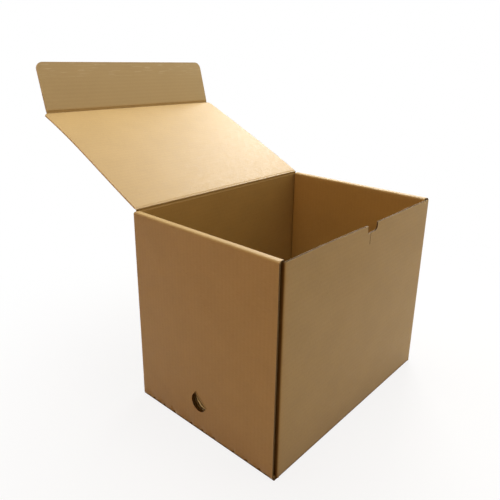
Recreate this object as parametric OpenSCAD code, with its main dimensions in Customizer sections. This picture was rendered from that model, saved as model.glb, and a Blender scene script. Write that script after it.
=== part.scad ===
// Archive box of brown corrugated board, folded from one die-cut blank.
// The base carries a front wall, a back wall with the hinged lid, and two end walls. Each end wall is rolled
// over at the top: an outer panel goes up, the roll crosses, and an inner panel comes down to the base, where
// its lock tabs drop into slots. The corner flaps of the front and back walls are held between the two panels.
// Origin: middle of the base's underside. +Z is up, the front wall is at -Y, the lid's hinge runs along X.

/* [Box] */
// Outside width, along the lid's hinge
box_w = 380; // [320:1:440]
// Outside depth, from the front wall to the back wall
box_d = 272; // [240:1:320]
// Height of the rolled end walls above the ground
box_h = 300; // [240:1:360]
// How far the front wall's cut edge lies below the end walls
front_drop = 1.5; // [1:0.5:8]

/* [Board] */
// Thickness of the corrugated board
board = 2.4; // [2:0.1:3]
// Inside radius of a fold
fold_in = 0.6; // [0.4:0.1:1.2]
// Play between layers of board that lie on each other
lap_gap = 0.3; // [0.2:0.05:0.6]
// Half angle of the wedge that a crushed crease leaves on each side of its line
crease_angle = 15; // [12:1:17]
// Radius of the rounded board on a crease line
crease_bead = 0.5; // [0.4:0.05:0.7]

/* [End walls] */
// Room between an outer end panel and the corner flaps behind it
end_gap = 3.8; // [1:0.1:5]
// How far an outer end panel's cut edges lie behind the front and back faces
end_inset = 3.5; // [0:0.5:5]
// Room between an inner end panel's ends and the front and back walls
inner_play = 2.2; // [0.2:0.1:5]
// Length of a corner flap along the end wall
corner_flap = 98; // [50:1:98]
// How much a corner flap narrows at its top and at its bottom towards its free edge
corner_taper = 14; // [0:1:40]
// Width of a lock tab
lock_w = 45; // [25:1:60]
// Distance between the middles of the two lock tabs of an end wall
lock_span = 150; // [90:1:165]
// Play of a lock tab in its slot
lock_play = 0.4; // [0.2:0.1:1]

/* [Lid] */
// Angle of the open lid above the horizontal
lid_angle = 25; // [0:1:80]
// Length over which the lid's front corners narrow to the tuck flap
lid_relief = 6; // [5:1:60]

/* [Tuck flap] */
// Length from the fold to the free edge
flap_len = 83; // [50:1:110]
// Angle by which the flap is folded out of the lid's plane
flap_fold = 50; // [0:1:90]
// Room between the tucked flap and the walls around it
flap_play = 1; // [0.5:0.1:3]
// Radius of the flap's free corners
flap_corner = 12; // [4:1:30]

/* [Finger hole] */
// Width of the push-in finger tab and diameter of its round end
finger_d = 28; // [24:1:40]
// Place of the middle of the tab's round end, towards the back
finger_y = 4.5; // [-10:0.5:10]
// Height of the finger hole's middle above the ground
finger_z = 47.5; // [40:0.5:80]
// Angle by which the tab's crease leans from upright, its top towards the back
finger_tilt = 51; // [0:1:60]
// Width of the cut around the tab
finger_kerf = 0.4; // [0.4:0.1:1]
// Distance of the tab's crease from the middle of the tab's round end
finger_crease = 8.5; // [8:0.5:11]
// Angle by which the tab is pushed in
finger_push = 25; // [0:1:60]
// How much the inner panel's hole is larger all round
finger_room = 4; // [2:0.5:8]

/* [Front notch] */
// Width of the thumb notch in the front wall's edge
notch_w = 26.5; // [18:0.5:40]
// Depth of the thumb notch
notch_h = 11.5; // [10:0.5:30]
// Place of the notch's middle along the front wall
notch_x = 7.5; // [-60:0.5:60]
// Radius of the notch's right lower corner
notch_round = 6; // [2:0.5:8]
// Width of the slit below the notch
slit_w = 1.2; // [0.6:0.1:2]
// Length of the slit below the notch
slit_h = 17; // [5:1:40]
// Distance of the slit from the notch's left side
slit_x = 8.5; // [2:0.1:10]

/* [Hidden] */
$fn = 48;

kraft = [0.62, 0.47, 0.28];
kraft_inside = [0.72, 0.58, 0.38];
// Overshoot of a cut past the faces that it goes through
cut = 1;

// Folds and creases
fold_out = fold_in + board;
crease_len = board / 2 / tan(crease_angle);
crease_stop = crease_bead + lap_gap;
crease_tip = crease_stop * tan(crease_angle);

// End walls: outer panel, corner flap and inner panel, with the room between them
end_wall = 3 * board + end_gap + lap_gap;
inner_d = box_d - 2 * (board + inner_play);
inner_foot = board + lap_gap;
// Half the length of the front and back walls, up to the outer faces of their corner flaps
wall_half = box_w / 2 - board - end_gap;
corner_top = box_h - board - lap_gap;

// Lid hinge on the back wall's middle plane, so that the closed lid lies on the end walls
hinge_y = box_d / 2 - board / 2;
hinge_z = box_h + lap_gap + board / 2;
lid_len = box_d - 2 * board - flap_play;
flap_half = box_w / 2 - end_wall - flap_play;

// Crease of the finger tab, on the middle plane of the outer end panel
finger_r = finger_d / 2;
tab_x = -box_w / 2 + board / 2;
tab_y = finger_y - finger_crease * cos(finger_tilt);
tab_z = finger_z + finger_crease * sin(finger_tilt);

// One quarter fold of the board, from a panel that comes up on the left to one that leaves to the right
module fold_profile() {
    difference() {
        intersection() {
            circle(r = fold_out);
            translate([-fold_out, -fold_out]) square(fold_out);
        }
        circle(r = fold_in);
    }
}

// A board that runs along +Y from a crease line on the X axis, half its width to each side. The crushed
// crease leaves a wedge that ends in the rounded board on the line itself. The profile is that of the far end
module board_from_crease(half, wedge, far_end) {
    translate([-half, 0, 0]) rotate([90, 0, 90]) union() {
        cylinder(r = crease_bead, h = 2 * half);
        linear_extrude(2 * half) polygon(concat(
            [[0, 0], [wedge, -board / 2]],
            far_end,
            [[wedge, board / 2]]
        ));
    }
}

// Far end of a board at a second crease line, with room there for the next board's rounded end
function creased_end(length) = [
    [length - crease_len, -board / 2],
    [length - crease_stop, -crease_tip],
    [length - crease_stop, crease_tip],
    [length - crease_len, board / 2]
];

// Far end of a board at a cut edge
function cut_end(length) = [[length, -board / 2], [length, board / 2]];

// Cross-section of an outer end panel, from the base up to the first fold of the roll
module outer_end_profile() {
    translate([fold_out, fold_out]) fold_profile();
    translate([0, fold_out]) square([board, box_h - 2 * fold_out]);
    translate([fold_out, box_h - fold_out]) rotate(-90) fold_profile();
}

// Cross-section of the roll's flat, its second fold and the inner end panel
module inner_end_profile() {
    translate([fold_out, box_h - board]) square([end_wall - 2 * fold_out, board]);
    translate([end_wall - fold_out, box_h - fold_out]) rotate(180) fold_profile();
    translate([end_wall - board, inner_foot]) square([board, box_h - fold_out - inner_foot]);
}

// Lays a profile drawn as [x, z] at the left end wall, as long as stated along Y
module along_end(length) {
    translate([-box_w / 2, length / 2, 0]) rotate([90, 0, 0]) linear_extrude(length) children();
}

// Lays a profile drawn as [y, z] from the front face inwards, half its length to each side along the front wall
module along_front(half) {
    translate([-half, -box_d / 2, 0]) rotate([90, 0, 90]) linear_extrude(2 * half) children();
}

// Lays a shape drawn as [y, z] on the left end wall, through the stated depths from its outer face
module through_end(from, to) {
    translate([-box_w / 2 + from, 0, 0]) rotate([90, 0, 90]) linear_extrude(to - from) children();
}

// Places of the lock tabs of an end wall
module at_locks() {
    for (side = [-1, 1]) translate([0, side * lock_span / 2, 0]) children();
}

// Left end wall, with the lock tabs of its inner panel
module end_wall_left() {
    along_end(box_d - 2 * end_inset) outer_end_profile();
    along_end(inner_d) inner_end_profile();
    at_locks() translate([-box_w / 2 + end_wall - board, -lock_w / 2, lock_play])
        cube([board, lock_w, board]);
}

// Slots in the base for the lock tabs of the left end wall
module lock_slots() {
    at_locks() translate([-box_w / 2 + end_wall - board - lock_play, -lock_w / 2 - lock_play, -cut])
        cube([board + 2 * lock_play, lock_w + 2 * lock_play, board + 2 * cut]);
}

// Corner flap of the front wall at the left end, with the fold that carries it, up to the stated height
module corner_left(top) {
    flap_top = min(top, corner_top);
    translate([-wall_half + fold_out, -box_d / 2 + fold_out, lap_gap])
        linear_extrude(top - lap_gap) fold_profile();
    translate([-wall_half, 0, 0]) rotate([90, 0, 90]) linear_extrude(board) polygon([
        [-box_d / 2 + fold_out, inner_foot],
        [-box_d / 2 + corner_flap, inner_foot + corner_taper],
        [-box_d / 2 + corner_flap, flap_top - corner_taper],
        [-box_d / 2 + fold_out, flap_top]
    ]);
}

// A wall from its fold with the base up to a cut edge
module wall_profile(top) {
    translate([fold_out, fold_out]) fold_profile();
    translate([0, fold_out]) square([board, top - fold_out]);
}

// The back wall narrows to the lid's crease at its top
module crease_top_profile() {
    translate([board / 2, hinge_z]) polygon([
        [-board / 2, -crease_len],
        [-crease_tip, -crease_stop],
        [crease_tip, -crease_stop],
        [board / 2, -crease_len]
    ]);
}

// Thumb notch in the front wall's edge, and the slit that runs down from it, drawn as [x, z]
module notch_cut() {
    top = box_h - front_drop;
    left = notch_x - notch_w / 2;
    difference() {
        translate([left, top - notch_h]) square([notch_w, notch_h + cut]);
        translate([left + notch_w - notch_round, top - notch_h]) difference() {
            square(notch_round);
            translate([0, notch_round]) circle(r = notch_round);
        }
    }
    translate([left + slit_x - slit_w / 2, top - notch_h - slit_h]) square([slit_w, slit_h + cut]);
}

// Finger tab as [y, z] from the tab's crease, or its hole if grown: straight sides that end in a half circle
module finger_shape(grow) {
    radius = finger_r + grow;
    start = -crease_bead - grow;
    difference() {
        translate([start, -radius]) square([finger_crease + radius - start, 2 * radius]);
        translate([finger_crease, 0]) difference() {
            translate([0, -radius - cut]) square([radius + cut, 2 * (radius + cut)]);
            circle(r = radius);
        }
    }
}

module carton() {
    color(kraft) difference() {
        union() {
            translate([-box_w / 2 + fold_out, -box_d / 2 + fold_out, 0])
                cube([box_w - 2 * fold_out, box_d - 2 * fold_out, board]);
            for (turn = [0, 1]) mirror([turn, 0, 0]) {
                end_wall_left();
                corner_left(box_h - front_drop);
                mirror([0, 1, 0]) corner_left(corner_top);
            }
            along_front(wall_half - fold_out) wall_profile(box_h - front_drop);
            mirror([0, 1, 0]) {
                along_front(wall_half - fold_out) wall_profile(hinge_z - crease_len);
                along_front(wall_half) crease_top_profile();
            }
        }
        for (turn = [0, 1]) mirror([turn, 0, 0]) difference() {
            lock_slots();
            at_locks() translate([-box_w / 2 + end_wall - board, -lock_w / 2, lock_play])
                cube([board, lock_w, 2 * board]);
        }
        translate([0, -box_d / 2 + board + cut, 0]) rotate([90, 0, 0])
            linear_extrude(board + 2 * cut) notch_cut();
        translate([0, tab_y, tab_z]) rotate([-finger_tilt, 0, 0]) {
            through_end(-cut, board + cut) finger_shape(finger_kerf);
            through_end(end_wall - board - cut, end_wall + cut)
                translate([finger_crease, 0]) circle(r = finger_r + finger_room);
        }
    }
}

// Lid in its own plane: +Y runs from the hinge to the fold of the tuck flap, +Z is its inner side
module lid_flat() {
    intersection() {
        board_from_crease(wall_half, crease_len, creased_end(lid_len));
        translate([0, 0, -board]) linear_extrude(2 * board) polygon([
            [-wall_half, -board],
            [wall_half, -board],
            [wall_half, lid_len - lid_relief],
            [flap_half, lid_len],
            [-flap_half, lid_len],
            [-wall_half, lid_len - lid_relief]
        ]);
    }
}

module lid() {
    color(kraft_inside) translate([0, hinge_y, hinge_z]) rotate([lid_angle, 0, 0]) lid_flat();
}

// Tuck flap in its own plane: +Y runs from its fold to its free edge
module flap_flat() {
    difference() {
        board_from_crease(flap_half, crease_len, cut_end(flap_len));
        for (turn = [0, 1]) mirror([turn, 0, 0])
            translate([flap_half - flap_corner, flap_len - flap_corner, -board])
                linear_extrude(2 * board) difference() {
                    square(flap_corner + cut);
                    circle(r = flap_corner);
                }
    }
}

module tuck_flap() {
    color(kraft_inside) translate([0, hinge_y, hinge_z]) rotate([lid_angle, 0, 0])
        translate([0, lid_len, 0]) rotate([flap_fold, 0, 0]) flap_flat();
}

// Finger tab in its own plane: +Y runs from its crease to its free edge
module tab_flat() {
    intersection() {
        board_from_crease(finger_r, board / 2, cut_end(finger_crease + finger_r + cut));
        translate([0, 0, -board]) linear_extrude(2 * board) rotate(90) finger_shape(0);
    }
}

// Finger tab pushed in about its leaning crease
module finger_tab() {
    color(kraft) translate([tab_x, tab_y, tab_z]) rotate([-finger_tilt, 0, 0]) rotate([0, 0, -finger_push])
        rotate([0, 90, 0]) tab_flat();
}

carton();
lid();
tuck_flap();
finger_tab();
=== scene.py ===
"""Looks of the archive box: corrugated board with its liners and fluted core, folded from one blank.

Lengths are in millimetres until a mesh is made, and the frame's metres from there on. Every board is drawn on
the blank first, where X runs along the flutes and Y across them, and then laid on the folded box.
"""

import math

import bmesh
import bpy
import numpy as np
from mathutils import Matrix, Vector
from mathutils.geometry import delaunay_2d_cdt


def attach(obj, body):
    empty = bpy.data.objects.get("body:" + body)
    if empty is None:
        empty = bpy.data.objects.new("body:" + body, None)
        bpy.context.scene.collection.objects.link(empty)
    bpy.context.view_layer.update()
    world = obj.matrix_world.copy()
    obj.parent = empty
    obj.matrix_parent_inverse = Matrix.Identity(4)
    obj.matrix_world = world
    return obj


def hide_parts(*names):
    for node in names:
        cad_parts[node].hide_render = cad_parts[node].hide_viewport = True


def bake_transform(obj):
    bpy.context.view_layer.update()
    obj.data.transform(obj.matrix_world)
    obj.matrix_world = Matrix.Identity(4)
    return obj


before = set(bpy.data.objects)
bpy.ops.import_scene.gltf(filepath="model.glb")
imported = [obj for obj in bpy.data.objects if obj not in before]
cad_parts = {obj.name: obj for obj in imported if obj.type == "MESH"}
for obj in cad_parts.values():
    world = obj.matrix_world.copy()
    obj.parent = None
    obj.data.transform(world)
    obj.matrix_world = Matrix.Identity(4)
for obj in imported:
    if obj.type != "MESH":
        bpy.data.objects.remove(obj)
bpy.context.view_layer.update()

# Metres in a millimetre
MM = 0.001

# Sizes of the folded box
BOX_W, BOX_D, BOX_H = 380.0, 272.0, 300.0
BOARD, FOLD_IN, LAP = 2.4, 0.6, 0.3
HALF = BOARD / 2
FOLD_OUT = FOLD_IN + BOARD
FOLD_MID = FOLD_OUT - HALF
ARC = FOLD_MID * math.pi / 2
END_GAP, END_INSET, INNER_PLAY = 3.8, 3.5, 2.2
END_WALL = 3 * BOARD + END_GAP + LAP
END_HALF = BOX_D / 2 - END_INSET
INNER_HALF = BOX_D / 2 - BOARD - INNER_PLAY
INNER_FOOT = BOARD + LAP
LOCK_SPAN, LOCK_W, LOCK_PLAY = 150.0, 45.0, 0.4
WALL_HALF = BOX_W / 2 - BOARD - END_GAP
WALL_STRAIGHT = WALL_HALF - FOLD_OUT
CORNER_FLAP, CORNER_TAPER = 98.0, 14.0
FRONT_TOP = BOX_H - 1.5
NOTCH_X, NOTCH_W, NOTCH_H, NOTCH_ROUND = 7.5, 26.5, 11.5, 6.0
SLIT_X, SLIT_W, SLIT_H = 8.5, 1.2, 17.0
HINGE_Y, HINGE_Z = BOX_D / 2 - HALF, BOX_H + LAP + HALF
FLAP_PLAY = 1.0
LID_ANGLE, LID_LEN, LID_RELIEF = math.radians(25), BOX_D - 2 * BOARD - FLAP_PLAY, 6.0
FLAP_FOLD, FLAP_LEN, FLAP_CORNER = math.radians(50), 83.0, 12.0
FLAP_HALF = BOX_W / 2 - END_WALL - FLAP_PLAY
CREASE = HALF / math.tan(math.radians(15))
TAB_R, TAB_OFF, TAB_PUSH, TAB_TILT = 14.0, 8.5, math.radians(25), math.radians(51)
TAB_MIDDLE_Y, TAB_MIDDLE_Z = 4.5, 47.5
TAB_X = -BOX_W / 2 + HALF
TAB_Y, TAB_Z = TAB_MIDDLE_Y - TAB_OFF * math.cos(TAB_TILT), TAB_MIDDLE_Z + TAB_OFF * math.sin(TAB_TILT)
TAB_KERF, TAB_BEAD = 0.4, 0.5
TAB_HOLE_INSIDE = TAB_R + 4

# How far the right front corner has slid in its room, towards the outer end panel
CORNER_SHIFT = 2.8

# Unevenness of the boards: bulges, the front wall's bow and dent, the lid's warp and the flap's curl
OUTER_BULGE, INNER_BULGE, BACK_BULGE = 0.35, 0.3, 0.4
BOW_IN, BOW_OUT, NOTCH_DENT = 1.0, 0.3, 0.6
WARP_RIGHT, WARP_LEFT, FLAP_CURL = 1.7, 3.2, 0.9

# Make of the board
LINER = 0.32
FLUTE = 6.4
WAVE = HALF - LINER - 0.1
MEDIUM = 0.12

# How far the cut edges are open between the liners
BASE_EDGE, END_EDGE, FRONT_EDGE, BACK_EDGE, LID_EDGE, TAB_EDGE = 0.5, 0.8, 1.5, 0.6, 0.3, 1.0

# How dark the painted shade on the cut edges and the middles of the creases is, from 0 to 1
END_RIM_PAINTED_SHADE, FRONT_RIM_PAINTED_SHADE, TAB_RIM_PAINTED_SHADE = 0.75, 0.86, 0.95
CREASE_PAINTED_SHADE = 0.45

# Floor, in metres: where it fades and its share of white there, and how far its dark part, a painted contact
# shadow, stays inside the box's outline
FLOOR_FADE = (0.25, 0.75, 0.86, 1.0)
PAINTED_SHADOW_INSET = 0.0012
FLOOR_COLOUR, PAINTED_SHADOW_COLOUR = (0.8, 0.8, 0.8, 1), (0.16, 0.09, 0.03, 1)

# Where the panels begin on the blank
BASE_X, BASE_Y = BOX_W / 2 - FOLD_OUT, BOX_D / 2 - FOLD_OUT
RISE = BOX_H - 2 * FOLD_OUT
ROLL_FLAT = END_WALL - 2 * FOLD_OUT
P_ROLL = ARC + RISE
P_FLAT = P_ROLL + ARC
P_TURN = P_FLAT + ROLL_FLAT
P_INNER = P_TURN + ARC
P_FOOT = P_INNER + BOX_H - FOLD_OUT - INNER_FOOT
LID_B = BASE_Y + ARC + HINGE_Z - FOLD_OUT
FLAP_B = LID_B + LID_LEN


def smooth(low, high, value):
    """Goes from 0 at low to 1 at high without a corner."""
    t = np.clip((np.asarray(value, float) - low) / (high - low), 0, 1)
    return t * t * (3 - 2 * t)


def wander(b, seed, pitch):
    """A slow, even unevenness of the board between -1 and 1, at places on the blank."""
    rng = np.random.default_rng(seed)
    total = np.zeros(len(b))
    for _ in range(5):
        turn, phase = rng.uniform(0, 2 * math.pi, 2)
        wave = 2 * math.pi / (pitch * rng.uniform(0.7, 1.6))
        total += np.sin((b[:, 0] * math.cos(turn) + b[:, 1] * math.sin(turn)) * wave + phase)
    return total / 5


# Places of the panels: a point of the blank and a height over the board's middle, counted towards the
# outer liner, become a point of the folded box

def place_base(b, n):
    return np.stack([b[:, 0], b[:, 1], HALF - n], 1)


def place_end(b, n):
    side = np.sign(b[:, 0])
    p = np.abs(b[:, 0]) - BASE_X
    turn = np.select(
        [p < ARC, p < P_ROLL, p < P_FLAT, p < P_TURN, p < P_INNER],
        [p / FOLD_MID, math.pi / 2, math.pi / 2 + (p - P_ROLL) / FOLD_MID, math.pi,
         math.pi + (p - P_TURN) / FOLD_MID],
        1.5 * math.pi,
    )
    out_x, out_z = -np.sin(turn), -np.cos(turn)
    bulge = OUTER_BULGE * wander(b, 3, 210) * smooth(ARC, 60, p) * (1 - smooth(P_ROLL - 60, P_ROLL, p))
    inner = INNER_BULGE * wander(b, 4, 190)
    bulge += inner * smooth(P_INNER, P_INNER + 60, p) * (1 - smooth(P_FOOT - 50, P_FOOT, p))
    reach = FOLD_MID + n
    x = FOLD_OUT + reach * out_x
    z = FOLD_OUT + reach * out_z
    up = (p >= ARC) & (p < P_ROLL)
    z = np.where(up, FOLD_OUT + p - ARC, z)
    z = np.where(p >= P_ROLL, BOX_H - FOLD_OUT + reach * out_z, z)
    x = np.where((p >= P_FLAT) & (p < P_TURN), FOLD_OUT + p - P_FLAT, x)
    x = np.where(p >= P_TURN, END_WALL - FOLD_OUT + reach * out_x, x)
    z = np.where(p >= P_INNER, BOX_H - FOLD_OUT - (p - P_INNER), z)
    x = x + bulge * out_x
    return np.stack([side * (BOX_W / 2 - x), b[:, 1], z], 1)


def front_bow(x, z):
    """How far the front wall leans in, with its free edge in a shallow S and a dent beside the notch."""
    along = np.clip((x + WALL_STRAIGHT) / (2 * WALL_STRAIGHT), 0, 1)
    lift = smooth(20, FRONT_TOP, z) ** 1.3
    wave = np.sin(2 * math.pi * along)
    bow = np.where(wave > 0, BOW_IN * wave, BOW_OUT * wave) * lift
    left = NOTCH_X - NOTCH_W / 2
    near = np.exp(-((x - left + 3) / 9) ** 2) * smooth(FRONT_TOP - 34, FRONT_TOP, z)
    return bow - NOTCH_DENT * near


def place_wall(b, n):
    side = np.sign(b[:, 1])
    p = np.abs(b[:, 1]) - BASE_Y
    turn = np.clip(p / FOLD_MID, 0, math.pi / 2)
    depth = FOLD_OUT - (FOLD_MID + n) * np.sin(turn)
    over = np.abs(b[:, 0]) - WALL_STRAIGHT
    folded = (p < ARC) & (over <= 0)
    z = np.where(folded, FOLD_OUT - (FOLD_MID + n) * np.cos(turn), FOLD_OUT + p - ARC)
    corner = np.clip(over / FOLD_MID, 0, math.pi / 2)
    x = np.where(over > 0, WALL_STRAIGHT + (FOLD_MID + n) * np.sin(corner), np.abs(b[:, 0]))
    round_corner = FOLD_OUT - (FOLD_MID + n) * np.cos(corner) + np.maximum(over - ARC, 0)
    depth = np.where(over > 0, round_corner, depth)
    x = np.sign(b[:, 0]) * x
    x = x + np.where(side < 0, CORNER_SHIFT * smooth(60, WALL_STRAIGHT, x), 0)
    straight = over <= 0
    bow = np.where((side < 0) & straight, front_bow(x, z), 0)
    back = BACK_BULGE * wander(b, 7, 200) * smooth(10, 90, z) * (1 - smooth(BOX_H - 80, BOX_H - 8, z))
    back = back * smooth(0, 70, -over)
    depth = depth + bow + np.where((side > 0) & straight, back, 0)
    return np.stack([x, side * (BOX_D / 2 - depth), z], 1)


def lid_warp(x, r):
    """The lid's slight warp, towards its inner side, at rest on both of its creases."""
    t = np.clip((r - CREASE) / (LID_LEN - 2 * CREASE), 0, 1)
    right = smooth(-60, 190, x)
    left = smooth(-60, 190, -x)
    return WARP_RIGHT * right * np.sin(math.pi * t ** 0.8) + WARP_LEFT * left * np.sin(math.pi * t ** 1.7)


def turn_up(y, z, angle):
    return y * math.cos(angle) - z * math.sin(angle), y * math.sin(angle) + z * math.cos(angle)


def place_lid(b, n):
    r = b[:, 1] - LID_B
    y, z = turn_up(r, lid_warp(b[:, 0], r) - n, LID_ANGLE)
    return np.stack([b[:, 0], HINGE_Y + y, HINGE_Z + z], 1)


def place_flap(b, n):
    r = b[:, 1] - FLAP_B
    t = np.clip((r - CREASE) / (FLAP_LEN - CREASE), 0, 1)
    curl = FLAP_CURL * wander(b, 11, 170) * t ** 2
    y, z = turn_up(r, curl - n, FLAP_FOLD)
    y, z = turn_up(y + LID_LEN, z, LID_ANGLE)
    return np.stack([b[:, 0], HINGE_Y + y, HINGE_Z + z], 1)


def on_end_wall(y, z):
    """Place on the blank of a point of the left end wall's outer panel."""
    return -(BASE_X + ARC + z - FOLD_OUT), y


def from_tab_crease(out, along):
    """Place on the end wall, as Y and Z, of a point counted from the tab's crease and along it."""
    cos, sin = math.cos(TAB_TILT), math.sin(TAB_TILT)
    return TAB_Y + out * cos + along * sin, TAB_Z - out * sin + along * cos


def place_tab(b, n):
    y, z = b[:, 1] - TAB_Y, FOLD_OUT - b[:, 0] - BASE_X - ARC - TAB_Z
    lean_cos, lean_sin = math.cos(TAB_TILT), math.sin(TAB_TILT)
    out, along = y * lean_cos - z * lean_sin, y * lean_sin + z * lean_cos
    cos, sin = math.cos(TAB_PUSH), math.sin(TAB_PUSH)
    y, z = from_tab_crease(out * cos + n * sin, along)
    return np.stack([TAB_X - n * cos + out * sin, y, z], 1)


class Piece:
    """Faces of one piece, with each point's place on the blank, its layer of the board and how dark its
    painted shade is.
    """

    def __init__(self):
        self.points, self.marks, self.shades, self.faces, self.count = [], [], [], [], 0

    def add(self, points, b, layer, shade=0.0):
        first = self.count
        self.points.append(points)
        self.marks.append(np.column_stack([b, np.broadcast_to(layer, len(b))]))
        self.shades.append(np.broadcast_to(shade, len(b)))
        self.count += len(points)
        return np.arange(first, self.count)

    def strip(self, one, two, closed=True):
        """Joins two rows of as many points each with quads."""
        last = len(one) if closed else len(one) - 1
        for i in range(last):
            j = (i + 1) % len(one)
            self.faces.append((one[i], one[j], two[j], two[i]))

    def make(self, name, material):
        mesh = bpy.data.meshes.new(name)
        metres = np.concatenate(self.points) * MM
        mesh.from_pydata(metres.tolist(), [], [tuple(map(int, f)) for f in self.faces])
        work = bmesh.new()
        work.from_mesh(mesh)
        bmesh.ops.recalc_face_normals(work, faces=work.faces)
        work.to_mesh(mesh)
        work.free()
        mark = mesh.attributes.new("blank", "FLOAT_VECTOR", "POINT")
        mark.data.foreach_set("vector", np.concatenate(self.marks).astype(np.float32).ravel())
        shade = mesh.attributes.new("shade", "FLOAT", "POINT")
        shade.data.foreach_set("value", np.concatenate(self.shades).astype(np.float32))
        mesh.polygons.foreach_set("use_smooth", [True] * len(mesh.polygons))
        mesh.set_sharp_from_angle(angle=math.radians(32))
        mesh.materials.append(material)
        piece = bpy.data.objects.new(name, mesh)
        bpy.context.scene.collection.objects.link(piece)
        return piece


def oriented(loop, around):
    """The loop with the board on its left: anticlockwise round a board, clockwise round a hole."""
    loop = np.asarray(loop, float)
    nxt = np.roll(loop, -1, 0)
    area = np.sum(loop[:, 0] * nxt[:, 1] - loop[:, 1] * nxt[:, 0])
    return loop if (area > 0) == around else loop[::-1]


def divided(loop, step, stops_x=(), stops_y=()):
    """The loop with points at most a step apart, and where it crosses the stated lines of the blank."""
    out = []
    for a, c in zip(loop, np.roll(loop, -1, 0)):
        ts = list(np.linspace(0, 1, max(1, math.ceil(np.linalg.norm(c - a) / step)) + 1)[:-1])
        for axis, stops in ((0, stops_x), (1, stops_y)):
            if abs(c[axis] - a[axis]) > 1e-6:
                ts += [t for t in ((s - a[axis]) / (c[axis] - a[axis]) for s in stops) if 0 < t < 1]
        ts = np.unique(np.round(ts, 7))
        length = np.linalg.norm(c - a)
        kept = [0.0]
        for t in ts[1:]:
            if (t - kept[-1]) * length > 0.2 and (1 - t) * length > 0.2:
                kept.append(t)
        out += [a + (c - a) * t for t in kept]
    return np.array(out)


def inset(loop, depth):
    """The loop moved into the board."""
    before, after = loop - np.roll(loop, 1, 0), np.roll(loop, -1, 0) - loop
    n1 = np.stack([-before[:, 1], before[:, 0]], 1) / np.linalg.norm(before, axis=1)[:, None]
    n2 = np.stack([-after[:, 1], after[:, 0]], 1) / np.linalg.norm(after, axis=1)[:, None]
    mid = n1 + n2
    size = np.linalg.norm(mid, axis=1)[:, None]
    mid = np.where(size > 1e-3, mid / np.maximum(size, 1e-3), n1)
    share = np.clip(np.sum(mid * n1, 1), 0.6, 1)[:, None]
    return loop + mid * depth / share


def within(points, loops):
    """Which points lie on the board."""
    hit = np.zeros(len(points), bool)
    x, y = points[:, 0][:, None], points[:, 1][:, None]
    for loop in loops:
        a, c = loop, np.roll(loop, -1, 0)
        rise = c[:, 1] - a[:, 1]
        rise = np.where(np.abs(rise) < 1e-12, 1e-12, rise)
        crosses = (a[:, 1] > y) != (c[:, 1] > y)
        left = x < (c[:, 0] - a[:, 0]) * (y - a[:, 1]) / rise + a[:, 0]
        hit ^= (np.sum(crosses & left, 1) % 2).astype(bool)
    return hit


def from_edges(points, loops):
    """Distance of each point from the nearest cut line."""
    near = np.full(len(points), np.inf)
    for loop in loops:
        for a, c in zip(loop, np.roll(loop, -1, 0)):
            way = c - a
            t = np.clip((points - a) @ way / (way @ way), 0, 1)
            near = np.minimum(near, np.linalg.norm(points - a - t[:, None] * way, axis=1))
    return near


def plain(b):
    return 0.0


def board(piece, outer, holes, grid_x, grid_y, place, depth, step=8.0, painted_rim_shade=0.0, painted_hole_rim_shade=0.0, shade=plain):
    """A board of two liners, with cut edges that are open between them and show the fluted core.

    The rims say how dark the painted shade on the cut edges is, and shade how dark the painted shade on the
    liners is at a place of the blank.
    """
    loops = [divided(oriented(outer, True), step, grid_x, grid_y)]
    loops += [divided(oriented(h, False), step) for h in holes]
    gx, gy = np.meshgrid(grid_x, grid_y)
    inner = np.stack([gx.ravel(), gy.ravel()], 1)
    inner = inner[within(inner, loops)]
    rims = np.concatenate(loops)
    inner = inner[from_edges(inner, loops) > 0.3]
    points = np.concatenate([rims, inner])
    edges, first = [], 0
    for loop in loops:
        edges += [(first + i, first + (i + 1) % len(loop)) for i in range(len(loop))]
        first += len(loop)
    verts, _, tris, origin, _, _ = delaunay_2d_cdt([Vector(p) for p in points], edges, [], 0, 1e-5)
    b = np.array([v[:] for v in verts])
    tris = np.array([t[:] for t in tris])
    tris = tris[within(b[tris].mean(1), loops)]
    spot = {}
    for i, olds in enumerate(origin):
        for o in olds:
            spot[o] = i
    faces_out = piece.add(place(b, np.full(len(b), HALF)), b, 1.0, shade(b))
    faces_in = piece.add(place(b, np.full(len(b), -HALF)), b, -1.0, shade(b))
    piece.faces += [tuple(faces_out[t]) for t in tris] + [tuple(faces_in[t[::-1]]) for t in tris]
    first = 0
    for loop in loops:
        ids = np.array([spot[first + i] for i in range(len(loop))])
        first += len(loop)
        deep = inset(loop, depth)
        low = HALF - LINER
        # How dark this cut edge's painted shade is: the outline's or the holes'
        dark = painted_rim_shade if loop is loops[0] else painted_hole_rim_shade
        rows = [faces_out[ids]]
        for line, n in ((loop, low), (deep, low), (deep, -low), (loop, -low)):
            rows.append(piece.add(place(line, np.full(len(line), n)), line, 0.0, dark))
        rows.append(faces_in[ids])
        for one, two in zip(rows, rows[1:]):
            piece.strip(one, two)
        flutes(piece, loop, depth, place, dark)


def flutes(piece, loop, depth, place, dark):
    """The edge of the fluted core between the liners, along a cut edge."""
    fine = []
    for a, c in zip(loop, np.roll(loop, -1, 0)):
        length = np.linalg.norm(c - a)
        across = abs(c[1] - a[1]) / max(length, 1e-9)
        count = max(1, math.ceil(length * across / 0.8), math.ceil(length / 8))
        fine += [a + (c - a) * t for t in np.linspace(0, 1, count + 1)[:-1]]
    fine = np.array(fine)
    near, far = inset(fine, 0.12), inset(fine, depth + 0.2)
    rows = []
    for line, side in ((near, 1), (near, -1), (far, -1), (far, 1)):
        n = WAVE * np.sin(line[:, 1] * 2 * math.pi / FLUTE) + side * MEDIUM
        rows.append(piece.add(place(line, n), line, 0.0, dark))
    for one, two in zip(rows, rows[1:] + rows[:1]):
        piece.strip(one, two)


def spread(low, high, step):
    return list(np.linspace(low, high, max(2, round((high - low) / step) + 1)))


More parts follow.
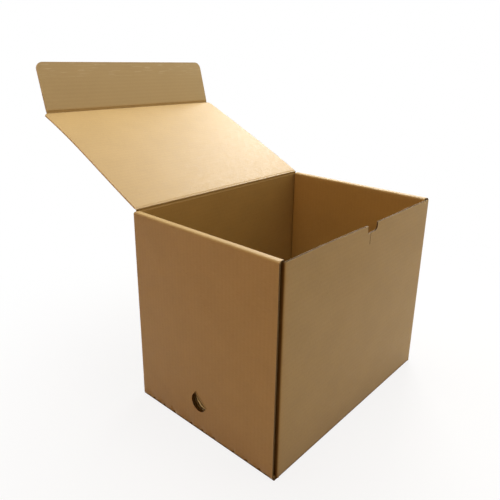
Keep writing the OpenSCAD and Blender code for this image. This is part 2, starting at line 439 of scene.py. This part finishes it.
def rounded(corner, radius, start, end, count=10):
    """Points of an arc about a middle, from one angle to another in degrees."""
    angles = np.radians(np.linspace(start, end, count))
    return [(corner[0] + radius * math.cos(a), corner[1] + radius * math.sin(a)) for a in angles]


# Carton

def carton_board(material):
    piece = Piece()
    slots = []
    for sx in (-1, 1):
        for sy in (-1, 1):
            inside = BOX_W / 2 - END_WALL
            xs = sorted((sx * (inside + BOARD + LOCK_PLAY), sx * (inside - LOCK_PLAY)))
            ys = (sy * LOCK_SPAN / 2 - LOCK_W / 2 - LOCK_PLAY, sy * LOCK_SPAN / 2 + LOCK_W / 2 + LOCK_PLAY)
            slots.append([(xs[0], ys[0]), (xs[1], ys[0]), (xs[1], ys[1]), (xs[0], ys[1])])
    base = [(-BASE_X, -BASE_Y), (BASE_X, -BASE_Y), (BASE_X, BASE_Y), (-BASE_X, BASE_Y)]
    board(piece, base, slots, spread(-175, 175, 25), spread(-120, 120, 24), place_base, BASE_EDGE,
          painted_rim_shade=END_RIM_PAINTED_SHADE, painted_hole_rim_shade=END_RIM_PAINTED_SHADE)
    for side in (-1, 1):
        end_board(piece, side)
    front_board(piece)
    back_board(piece)
    return piece.make("carton_board", material)


def end_board(piece, side):
    lock = [LOCK_SPAN / 2 - LOCK_W / 2, LOCK_SPAN / 2 + LOCK_W / 2]
    drop = INNER_FOOT - LOCK_PLAY
    half = [
        (0, END_HALF), (P_FLAT, END_HALF), (P_FLAT, INNER_HALF), (P_FOOT, INNER_HALF),
        (P_FOOT, lock[1]), (P_FOOT + drop, lock[1]), (P_FOOT + drop, lock[0]), (P_FOOT, lock[0]),
    ]
    outline = half + [(p, -y) for p, y in reversed(half)]
    outer = [(side * (BASE_X + p), y) for p, y in outline]
    holes = []
    if side < 0:
        holes.append(finger_outline(TAB_KERF, -TAB_BEAD - TAB_KERF))
        middle = -(BASE_X + P_INNER + BOX_H - FOLD_OUT - TAB_MIDDLE_Z)
        holes.append(rounded((middle, TAB_MIDDLE_Y), TAB_HOLE_INSIDE, 0, 360, 61)[:-1])
    ps = spread(ARC / 5, ARC, ARC / 5) + spread(12, P_ROLL - 6, 12) + spread(P_ROLL, P_FLAT, 0.5)
    ps += [P_FLAT + ROLL_FLAT / 2] + spread(P_TURN, P_INNER, 0.5) + spread(P_INNER + 6, P_FOOT - 8, 14)
    # Painted shade on the end boards' cut edges, and darker painted shade on the finger hole's rims
    board(piece, outer, holes, [side * (BASE_X + p) for p in ps], spread(-128, 128, 12), place_end, END_EDGE,
          painted_rim_shade=END_RIM_PAINTED_SHADE, painted_hole_rim_shade=TAB_RIM_PAINTED_SHADE)


def finger_outline(grow, start):
    """Outline of the tab, or of its hole if grown, on the blank: straight sides that end in a half circle."""
    radius = TAB_R + grow
    shape = [(start, -radius)] + rounded((TAB_OFF, 0), radius, -90, 90, 32) + [(start, radius)]
    return [on_end_wall(*from_tab_crease(out, along)) for out, along in shape]


def wall_outline(top, top_edge):
    """Half of a wall's outline with its corner flap, from the base fold out and round to the top edge."""
    def p(z):
        return ARC + z - FOLD_OUT
    bend = WALL_STRAIGHT + ARC
    tip = bend + CORNER_FLAP - FOLD_OUT
    half = [
        (bend, 0), (bend, p(INNER_FOOT)), (tip, p(INNER_FOOT + CORNER_TAPER)), (tip, p(top - CORNER_TAPER)),
        (bend, p(top)), (WALL_STRAIGHT, p(top)),
    ]
    return half + [(q, p(z)) for q, z in top_edge] + [(-q, v) for q, v in reversed(half)]


WALL_QS = spread(-WALL_STRAIGHT + 6, WALL_STRAIGHT - 6, 10)
CORNER_QS = spread(WALL_STRAIGHT, WALL_STRAIGHT + ARC, 0.65)
CORNER_QS += spread(WALL_STRAIGHT + 16, WALL_STRAIGHT + 88, 18)
WALL_QS = [-q for q in reversed(CORNER_QS)] + WALL_QS + CORNER_QS


def painted_corner_shade(b):
    """Painted shade on the walls' corner folds, which makes them darker than the walls: the shade in the gap
    at the corners.
    """
    return 0.85 * smooth(WALL_STRAIGHT + 0.8, WALL_STRAIGHT + 2.3, np.abs(b[:, 0]))


def front_board(piece):
    left, right = NOTCH_X - NOTCH_W / 2, NOTCH_X + NOTCH_W / 2
    foot = FRONT_TOP - NOTCH_H
    slit = left + SLIT_X
    notch = [(right, FRONT_TOP)]
    notch += rounded((right - NOTCH_ROUND, foot + NOTCH_ROUND), NOTCH_ROUND, 0, -90, 8)
    slit_right, slit_left = slit + SLIT_W / 2, slit - SLIT_W / 2
    notch += [(slit_right, foot), (slit_right, foot - SLIT_H), (slit_left, foot - SLIT_H), (slit_left, foot)]
    notch += [(left, foot), (left, FRONT_TOP)]
    outline = wall_outline(FRONT_TOP, notch)
    outer = [(q, -(BASE_Y + p)) for q, p in outline]
    ps = spread(ARC / 5, ARC, ARC / 5) + spread(14, 240, 14) + spread(246, ARC + FRONT_TOP - FOLD_OUT - 4, 7)
    board(piece, outer, [], WALL_QS, [-(BASE_Y + p) for p in ps], place_wall, FRONT_EDGE, step=6,
          painted_rim_shade=FRONT_RIM_PAINTED_SHADE, shade=painted_corner_shade)


def back_board(piece):
    outline = wall_outline(HINGE_Z - CREASE, [])
    outer = [(q, BASE_Y + p) for q, p in outline]
    ps = spread(ARC / 5, ARC, ARC / 5) + spread(14, ARC + HINGE_Z - CREASE - FOLD_OUT - 6, 14)
    board(piece, outer, [], WALL_QS, [BASE_Y + p for p in ps], place_wall, BACK_EDGE, shade=painted_corner_shade)


# Lid, tuck flap and finger tab

def lid_half(r):
    return WALL_HALF + (FLAP_HALF - WALL_HALF) * np.clip((r - LID_LEN + LID_RELIEF) / LID_RELIEF, 0, 1)


def lid_board(material):
    piece = Piece()
    far = LID_LEN - CREASE
    half = [(WALL_HALF, CREASE), (WALL_HALF, LID_LEN - LID_RELIEF), (float(lid_half(far)), far)]
    outline = half + [(-x, r) for x, r in reversed(half)]
    outer = [(x, LID_B + r) for x, r in outline]
    rows = [LID_B + r for r in spread(12, far - 6, 9)]
    board(piece, outer, [], spread(-176, 176, 11), rows, place_lid, LID_EDGE)
    return piece.make("lid_board", material)


def flap_board(material):
    piece = Piece()
    reach, tip = FLAP_HALF - FLAP_CORNER, FLAP_LEN - FLAP_CORNER
    half = [(FLAP_HALF, CREASE)] + rounded((reach, tip), FLAP_CORNER, 0, 90, 12)
    outline = half + [(-x, r) for x, r in reversed(half)]
    outer = [(x, FLAP_B + r) for x, r in outline]
    rows = [FLAP_B + r for r in spread(11, 76, 8)]
    board(piece, outer, [], spread(-170, 170, 11), rows, place_flap, LID_EDGE)
    return piece.make("flap_board", material)


def painted_tab_shade(b):
    """Painted shade on the tab, darker towards its round end."""
    y, z = b[:, 1] - TAB_Y, FOLD_OUT - b[:, 0] - BASE_X - ARC - TAB_Z
    return 0.6 * smooth(2, 15, y * math.cos(TAB_TILT) - z * math.sin(TAB_TILT))


def tab_board(material):
    piece = Piece()
    xs = [on_end_wall(0, TAB_MIDDLE_Z + z)[0] for z in spread(-16, 16, 4)]
    ys = [TAB_MIDDLE_Y + y for y in spread(-16, 16, 4)]
    board(piece, finger_outline(0, HALF), [], xs, ys, place_tab, TAB_EDGE, step=3,
          painted_rim_shade=TAB_RIM_PAINTED_SHADE, shade=painted_tab_shade)
    return piece.make("tab_board", material)


def crease(name, material, pivot, along, outwards, width, angle, reach, thin, half_at, blank_at, steps=48):
    """The crushed board of a crease, from one board's full thickness to the next one's, bent as it stands."""
    piece = Piece()
    pivot, along, outwards, width = (np.array(v, float) for v in (pivot, along, outwards, width))
    s = np.linspace(-reach[0], reach[1], 25)
    thick = np.maximum(thin, HALF * np.abs(s) / np.where(s < 0, reach[0], reach[1]))
    bend = smooth(-0.45 * reach[0], 0.45 * reach[1], s) * angle
    rows = []
    for x in np.linspace(-1, 1, steps + 1):
        across = np.array([half_at(v) for v in s]) * x
        b = np.array([blank_at(v, a) for v, a in zip(s, across)])
        ruffle = 0.12 * wander(b, 21, 9) * np.exp(-(s / 2.5) ** 2)
        ring = []
        for side in (1, -1):
            n = side * thick + ruffle
            run = s * np.cos(bend) - n * np.sin(bend)
            rise = s * np.sin(bend) + n * np.cos(bend)
            spots = pivot + run[:, None] * along + rise[:, None] * outwards + across[:, None] * width
            # Painted shade darkens the middle of the crease, where the fold lies in shade.
            ring.append(piece.add(spots, b, float(side), CREASE_PAINTED_SHADE * np.exp(-(s / 1.4) ** 2)))
        rows.append(np.concatenate([ring[0], ring[1][::-1]]))
    for one, two in zip(rows, rows[1:]):
        piece.strip(one, two)
    count = len(s)
    for row in (rows[0], rows[-1]):
        for i in range(count - 1):
            piece.faces.append((row[i], row[i + 1], row[2 * count - 2 - i], row[2 * count - 1 - i]))
    made = piece.make(name, material)
    way = math.cos(angle) * along + math.sin(angle) * outwards
    return made, (pivot - reach[0] * 0.8 * along) * MM, (pivot + reach[1] * 0.8 * way) * MM


# Materials

def link(tree, a, out, c, into):
    tree.links.new(a.outputs[out], c.inputs[into])


def calculate(tree, operation, *values):
    """An arithmetic node's result, from numbers and other nodes' outputs."""
    made = tree.nodes.new("ShaderNodeMath")
    made.operation = operation
    for i, value in enumerate(values):
        if isinstance(value, (int, float)):
            made.inputs[i].default_value = value
        else:
            tree.links.new(value, made.inputs[i])
    return made.outputs[0]


def kraft(name):
    """Brown kraft liner: mottling, fibres, flecks, scuffs, the flutes' washboard, a faint sheen, and painted
    shade from the shade attribute.
    """
    material = bpy.data.materials.new(name)
    material.use_nodes = True
    tree = material.node_tree
    nodes = tree.nodes
    nodes.clear()

    def node(kind, **values):
        made = nodes.new(kind)
        for key, value in values.items():
            setattr(made, key, value)
        return made

    def math_node(operation, *values):
        return calculate(tree, operation, *values)

    def noise(scale, detail, rough, stretch):
        mapping = node("ShaderNodeMapping")
        mapping.inputs["Scale"].default_value = stretch
        tree.links.new(place.outputs["Vector"], mapping.inputs["Vector"])
        made = node("ShaderNodeTexNoise")
        made.inputs["Scale"].default_value = scale
        made.inputs["Detail"].default_value = detail
        made.inputs["Roughness"].default_value = rough
        tree.links.new(mapping.outputs["Vector"], made.inputs["Vector"])
        return made.outputs["Fac"]

    def mix(fac, one, two):
        made = node("ShaderNodeMix", data_type="RGBA")
        for socket, value in ((made.inputs[0], fac), (made.inputs[6], one), (made.inputs[7], two)):
            if isinstance(value, (int, float)):
                socket.default_value = value
            elif isinstance(value, tuple):
                socket.default_value = (*value, 1)
            else:
                tree.links.new(value, socket)
        return made.outputs[2]

    def ramp(value, low, high, out_low=0.0, out_high=1.0):
        made = node("ShaderNodeMapRange", interpolation_type="SMOOTHSTEP")
        tree.links.new(value, made.inputs[0])
        for i, number in enumerate((low, high, out_low, out_high)):
            made.inputs[i + 1].default_value = number
        return made.outputs[0]

    place = node("ShaderNodeAttribute", attribute_type="GEOMETRY", attribute_name="blank")
    split = node("ShaderNodeSeparateXYZ")
    link(tree, place, "Vector", split, 0)
    layer = math_node("ABSOLUTE", split.outputs[2])
    edge = ramp(layer, 0.7, 0.96, 1.0, 0.0)

    slow = noise(0.02, 3, 0.55, (1, 1, 0))
    cloud = noise(0.11, 4, 0.6, (1, 1, 0))
    fibre = noise(1.0, 5, 0.7, (0.9, 0.12, 0))
    grain = noise(2.6, 3, 0.6, (1, 1, 0))
    fleck = noise(0.55, 2, 0.5, (1, 0.5, 0))
    flute = math_node("SINE", math_node("MULTIPLY", split.outputs[1], 2 * math.pi / FLUTE))

    tone = mix(ramp(slow, 0.3, 0.7), (0.4, 0.27, 0.103), (0.425, 0.288, 0.111))
    tone = mix(math_node("MULTIPLY", ramp(cloud, 0.35, 0.72), 0.3), tone, (0.45, 0.31, 0.123))
    tone = mix(math_node("MULTIPLY", ramp(fibre, 0.42, 0.75), 0.28), tone, (0.49, 0.346, 0.147))
    tone = mix(math_node("MULTIPLY", ramp(fibre, 0.5, 0.25), 0.25), tone, (0.3, 0.19, 0.074))
    tone = mix(math_node("MULTIPLY", ramp(fleck, 0.7, 0.78), 0.55), tone, (0.17, 0.1, 0.04))
    scuff = noise(1.0, 3, 0.55, (0.035, 0.5, 0))
    flap_end = ramp(split.outputs[1], FLAP_B + 48, FLAP_B + 70)
    worn = math_node("MULTIPLY", ramp(scuff, 0.56, 0.66), flap_end)
    inside = math_node("MULTIPLY", ramp(split.outputs[2], 0.3, -0.3), 0.6)
    faded = math_node("MULTIPLY", ramp(split.outputs[1], FLAP_B + 1, FLAP_B + 9), inside)
    tone = mix(faded, tone, (0.44, 0.352, 0.2))
    tone = mix(math_node("MULTIPLY", worn, 0.4), tone, (0.6, 0.52, 0.36))
    washed = math_node("MULTIPLY", ramp(flute, -1, 1), 0.07)
    tone = mix(washed, tone, (0.29, 0.185, 0.074))
    # Pale colour of the cut edges: partly the core's own colour, partly painted light that keeps cut edges in
    # shade as light as the lit liners
    core = mix(ramp(fibre, 0.3, 0.7), (0.66, 0.51, 0.29), (0.76, 0.6, 0.35))
    tone = mix(edge, tone, core)
    # Painted shade: the shade attribute darkens the colour towards a near-black brown and lowers the sheen
    painted_shade = node("ShaderNodeAttribute", attribute_type="GEOMETRY", attribute_name="shade")
    tone = mix(painted_shade.outputs["Fac"], tone, (0.06, 0.024, 0.003))

    shader = node("ShaderNodeBsdfPrincipled")
    tree.links.new(tone, shader.inputs["Base Color"])
    rough = ramp(cloud, 0.3, 0.7, 0.46, 0.54)
    tree.links.new(rough, shader.inputs["Roughness"])
    sheen = ramp(painted_shade.outputs["Fac"], 0.0, 0.8, 0.24, 0.03)
    tree.links.new(sheen, shader.inputs["Specular IOR Level"])

    height = math_node("MULTIPLY", flute, 0.035)
    height = math_node("ADD", height, math_node("MULTIPLY", cloud, 0.012))
    height = math_node("ADD", height, math_node("MULTIPLY", fibre, 0.002))
    height = math_node("ADD", height, math_node("MULTIPLY", grain, 0.0015))
    bump = node("ShaderNodeBump")
    bump.inputs["Strength"].default_value = 0.4
    bump.inputs["Distance"].default_value = 0.001
    tree.links.new(height, bump.inputs["Height"])
    link(tree, bump, "Normal", shader, "Normal")
    out = node("ShaderNodeOutputMaterial")
    link(tree, shader, "BSDF", out, "Surface")
    return material


def sees_white(tree):
    """1 for the rays that see the white background: the camera's, glossy and transmission rays."""
    path = tree.nodes.new("ShaderNodeLightPath")
    share = path.outputs["Is Camera Ray"]
    for name in ("Is Glossy Ray", "Is Transmission Ray"):
        share = calculate(tree, "MAXIMUM", share, path.outputs[name])
    return share


def floor_material():
    """Pale floor that keeps the box's shadow, has a painted contact shadow as a dark patch beneath the box,
    and runs into the white background.
    """
    material = bpy.data.materials.new("floor")
    material.use_nodes = True
    tree = material.node_tree
    nodes = tree.nodes
    nodes.clear()

    def math_node(operation, *values):
        return calculate(tree, operation, *values)

    where = nodes.new("ShaderNodeTexCoord")
    far = nodes.new("ShaderNodeVectorMath")
    far.operation = "LENGTH"
    link(tree, where, "Object", far, 0)
    fade = nodes.new("ShaderNodeMapRange")
    fade.interpolation_type = "SMOOTHSTEP"
    tree.links.new(far.outputs["Value"], fade.inputs[0])
    for i, value in enumerate(FLOOR_FADE):
        fade.inputs[i + 1].default_value = value

    split = nodes.new("ShaderNodeSeparateXYZ")
    link(tree, where, "Object", split, 0)
    # A dark patch within the box's outline: a painted contact shadow
    along_x = math_node("LESS_THAN", math_node("ABSOLUTE", split.outputs[0]), BOX_W / 2 * MM - PAINTED_SHADOW_INSET)
    along_y = math_node("LESS_THAN", math_node("ABSOLUTE", split.outputs[1]), BOX_D / 2 * MM - PAINTED_SHADOW_INSET)
    painted_shadow_area = math_node("MULTIPLY", along_x, along_y)
    colour = nodes.new("ShaderNodeMix")
    colour.data_type = "RGBA"
    colour.inputs[6].default_value = FLOOR_COLOUR
    colour.inputs[7].default_value = PAINTED_SHADOW_COLOUR
    tree.links.new(painted_shadow_area, colour.inputs[0])
    matt = nodes.new("ShaderNodeBsdfDiffuse")
    tree.links.new(colour.outputs[2], matt.inputs["Color"])

    white = nodes.new("ShaderNodeEmission")
    white.inputs["Color"].default_value = (1, 1, 1, 1)
    white.inputs["Strength"].default_value = 1.0
    share = math_node("MULTIPLY", sees_white(tree), fade.outputs[0])
    share = math_node("MULTIPLY", share, math_node("SUBTRACT", 1.0, painted_shadow_area))
    seen = nodes.new("ShaderNodeMixShader")
    tree.links.new(share, seen.inputs["Fac"])
    tree.links.new(matt.outputs[0], seen.inputs[1])
    tree.links.new(white.outputs[0], seen.inputs[2])
    out = nodes.new("ShaderNodeOutputMaterial")
    tree.links.new(seen.outputs[0], out.inputs["Surface"])
    return material


def lamp(name, spot, target, size, energy, colour):
    data = bpy.data.lights.new(name, "AREA")
    data.shape = "SQUARE"
    data.size = size
    data.energy = energy
    data.color = colour
    made = bpy.data.objects.new(name, data)
    made.location = spot
    made.rotation_euler = (Vector(target) - Vector(spot)).to_track_quat("-Z", "Y").to_euler()
    bpy.context.scene.collection.objects.link(made)
    return made


def world_light():
    world = bpy.data.worlds.new("studio")
    bpy.context.scene.world = world
    world.use_nodes = True
    tree = world.node_tree
    tree.nodes.clear()
    fill = tree.nodes.new("ShaderNodeBackground")
    fill.inputs["Color"].default_value = (1.0, 0.67, 0.27, 1)
    fill.inputs["Strength"].default_value = 0.06
    white = tree.nodes.new("ShaderNodeBackground")
    white.inputs["Color"].default_value = (1, 1, 1, 1)
    white.inputs["Strength"].default_value = 1.0
    both = tree.nodes.new("ShaderNodeMixShader")
    out = tree.nodes.new("ShaderNodeOutputWorld")
    tree.links.new(sees_white(tree), both.inputs[0])
    link(tree, fill, 0, both, 1)
    link(tree, white, 0, both, 2)
    link(tree, both, 0, out, 0)


def build():
    material = kraft("kraft_board")
    for name, make, node in (
        ("carton", carton_board, "carton"), ("lid", lid_board, "lid"),
        ("tuck_flap", flap_board, "tuck_flap"), ("finger_tab", tab_board, "finger_tab"),
    ):
        piece = make(material)
        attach(piece, name)
        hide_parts(node)

    cos, sin = math.cos(LID_ANGLE), math.sin(LID_ANGLE)
    fold = (0, HINGE_Y + LID_LEN * cos, HINGE_Z + LID_LEN * sin)
    far_half = float(lid_half(LID_LEN - CREASE))
    creases = (
        ("lid_crease", ("carton", "lid"), dict(
            pivot=(0, HINGE_Y, HINGE_Z), along=(0, 0, 1), outwards=(0, 1, 0), width=(1, 0, 0),
            angle=math.pi / 2 - LID_ANGLE, reach=(CREASE, CREASE), thin=0.6,
            half_at=lambda s: WALL_HALF,
            blank_at=lambda s, a: (a, LID_B + s), steps=72)),
        ("flap_crease", ("lid", "tuck_flap"), dict(
            pivot=fold, along=(0, cos, sin), outwards=(0, sin, -cos), width=(1, 0, 0),
            angle=-FLAP_FOLD, reach=(CREASE, CREASE), thin=0.6,
            half_at=lambda s: FLAP_HALF + (far_half - FLAP_HALF) * max(0.0, -s / CREASE),
            blank_at=lambda s, a: (a, FLAP_B + s), steps=72)),
        ("tab_crease", ("carton", "finger_tab"), dict(
            pivot=(TAB_X, TAB_Y, TAB_Z), outwards=(-1, 0, 0),
            along=(0, math.cos(TAB_TILT), -math.sin(TAB_TILT)),
            width=(0, math.sin(TAB_TILT), math.cos(TAB_TILT)),
            angle=-TAB_PUSH, reach=(TAB_BEAD + TAB_KERF, HALF), thin=0.5,
            half_at=lambda s: TAB_R,
            blank_at=lambda s, a: on_end_wall(*from_tab_crease(s, a)), steps=16)),
    )
    for name, (first, second), values in creases:
        piece, start, end = crease(name, material, **values)
        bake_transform(piece)


# Name, place, target, size, energy and colour
LAMPS = (
    ("key", (1.25, 0.58, 1.3), (0.05, 0.2, 0.32), 0.7, 25.5, (1, 1, 0.99)),
    ("top", (0.1, 0.2, 1.9), (0, 0.1, 0.2), 1.2, 25.1, (1, 1, 0.98)),
    ("front", (0.9, -1.7, 0.9), (0, -0.1, 0.2), 1.2, 8.8, (1, 0.77, 0.45)),
    ("left", (-1.9, -0.2, 1.0), (0, 0, 0.2), 1.2, 8.8, (1, 0.39, 0)),
)


def stage():
    mesh = bpy.data.meshes.new("floor")
    mesh.from_pydata([(-9, -9, 0), (9, -9, 0), (9, 9, 0), (-9, 9, 0)], [], [(0, 1, 2, 3)])
    mesh.materials.append(floor_material())
    floor = bpy.data.objects.new("floor", mesh)
    floor.location = (0, 0, -0.0004)
    bpy.context.scene.collection.objects.link(floor)
    world_light()
    for values in LAMPS:
        lamp(*values)


def camera():
    scene = bpy.context.scene
    data = bpy.data.cameras.new("camera")
    data.sensor_width = 36
    data.lens = 515.90 / 500 * 36
    data.shift_x = (249.5 - 264.22) / 500
    data.shift_y = (227.89 - 249.5) / 500
    data.clip_start, data.clip_end = 0.02, 60
    made = bpy.data.objects.new("camera", data)
    right = Vector((0.655047, -0.755274, 0.021798))
    up = Vector((0.228172, 0.225229, 0.947211))
    back = Vector((-0.720314, -0.615494, 0.319868))
    turn = Matrix((right, up, back)).transposed().to_4x4()
    made.matrix_world = Matrix.Translation((-0.596315, -0.457713, 0.514101)) @ turn
    scene.collection.objects.link(made)
    scene.camera = made
    scene.view_settings.view_transform = "Standard"


build()
stage()
camera()
